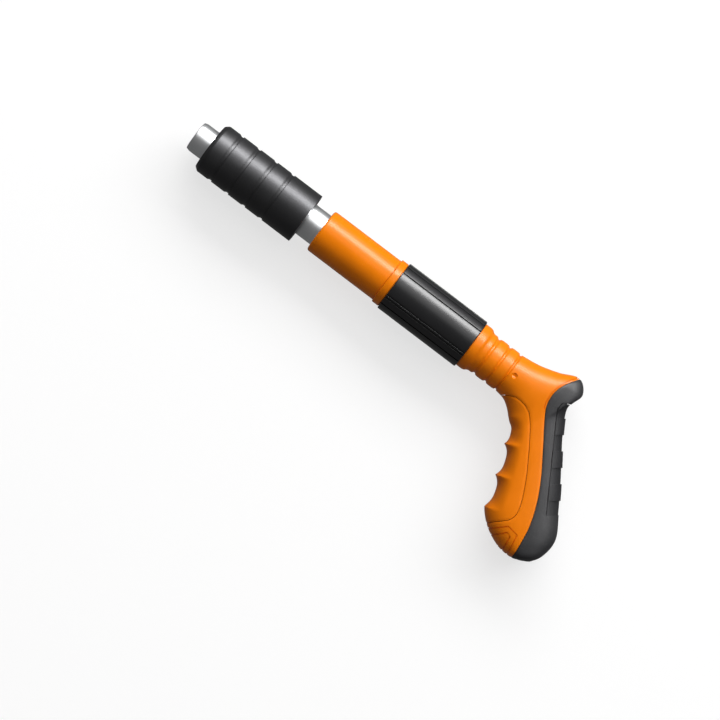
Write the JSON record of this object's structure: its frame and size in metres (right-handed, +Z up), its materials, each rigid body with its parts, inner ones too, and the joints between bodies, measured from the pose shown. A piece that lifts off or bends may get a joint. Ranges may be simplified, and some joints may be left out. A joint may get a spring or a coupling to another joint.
{
  "type": "powder-actuated nail gun",
  "caption": "Push-to-fire powder-actuated nail gun: pressing the chrome nose slides the muffled barrel into the body and cocks the striker; pistol grip with rubber backstrap.",
  "frame": {"origin": "centre of the bounding box's bottom, with the tool lying on its side", "axes": "+X along the barrel from the muzzle to the handle, +Y away from the grip, +Z up through the tool's thickness"},
  "size_m": [0.3724, 0.129, 0.039],
  "materials": {
    "chrome": "polished chrome plate",
    "black_metal": "satin black oxide",
    "grip_black": "black anodised",
    "orange_metal": "glossy orange paint",
    "orange_plastic": "moulded, satin gloss",
    "strap_rubber": "soft moulded rubber",
    "pad_rubber": "soft moulded rubber",
    "tool_steel": "ground",
    "spring_steel": "drawn wire",
    "bronze": "sintered bronze",
    "seal_rubber": "nitrile",
    "bumper_polymer": "cast polyurethane",
    "magnet": "nickel plated"
  },
  "bodies": {
    "body": {"front_sleeve": "orange_metal", "wiper_ring": "seal_rubber", "front_bush": "bronze", "collar": "orange_metal", "receiver_tube": "tool_steel", "grip_sleeve": "grip_black", "return_spring": "spring_steel", "rear_guide": "bronze", "barrel_bumper": "bumper_polymer", "spring_tube": "tool_steel", "striker_buffer": "bumper_polymer", "release_ramp": "tool_steel", "main_spring": "spring_steel", "spring_guide": "tool_steel", "rear_plug": "tool_steel", "handle_shell_left": "orange_plastic", "handle_shell_right": "orange_plastic", "finger_grip": "orange_plastic", "backstrap": "strap_rubber", "palm_pad": "pad_rubber", "handle_screws": "tool_steel"},
    "barrel": {"nozzle": "chrome", "nozzle_magnet": "magnet", "breech_disc": "tool_steel", "barrel_tube": "chrome", "muffler_front_cap": "black_metal", "muffler_sleeve": "black_metal", "muffler_liner": "tool_steel", "muffler_baffles": "tool_steel", "muffler_rear_nut": "black_metal", "muffler_o_rings": "seal_rubber", "barrel_stop_ring": "tool_steel", "pin_guides": "bronze", "pin_retainer": "tool_steel", "pin_return_spring": "spring_steel"},
    "pin": {"firing_pin": "tool_steel"},
    "striker": {"striker": "tool_steel", "sear_spring": "spring_steel"},
    "sear": {"sear": "tool_steel"}
  },
  "joints": [
    {"name": "barrel_press", "type": "slide", "parent": "body", "child": "barrel", "axis": [1, 0, 0], "range_m": [0, 0.012], "stiffness_N_per_m": 2000, "springref_m": -0.005, "deforming": ["return_spring"]},
    {"name": "striker_cock", "type": "slide", "parent": "body", "child": "striker", "axis": [1, 0, 0], "range_m": [0, 0.012], "stiffness_N_per_m": 3000, "springref_m": -0.004, "deforming": ["main_spring"]},
    {"name": "sear_shift", "type": "slide", "parent": "striker", "child": "sear", "axis": [0, -1, 0], "range_m": [0, 0.0024], "stiffness_N_per_m": 300, "springref_m": -0.0005, "deforming": ["sear_spring"]},
    {"name": "pin_strike", "type": "slide", "parent": "barrel", "child": "pin", "axis": [-1, 0, 0], "range_m": [0, 0.0015], "stiffness_N_per_m": 1000, "springref_m": -0.002, "deforming": ["pin_return_spring"]}
  ],
  "couplings": [
    {"joint": "striker_cock", "follows": "barrel_press", "ratio": 1},
    {"joint": "sear_shift", "follows": "barrel_press", "ratio": 0.2}
  ]
}
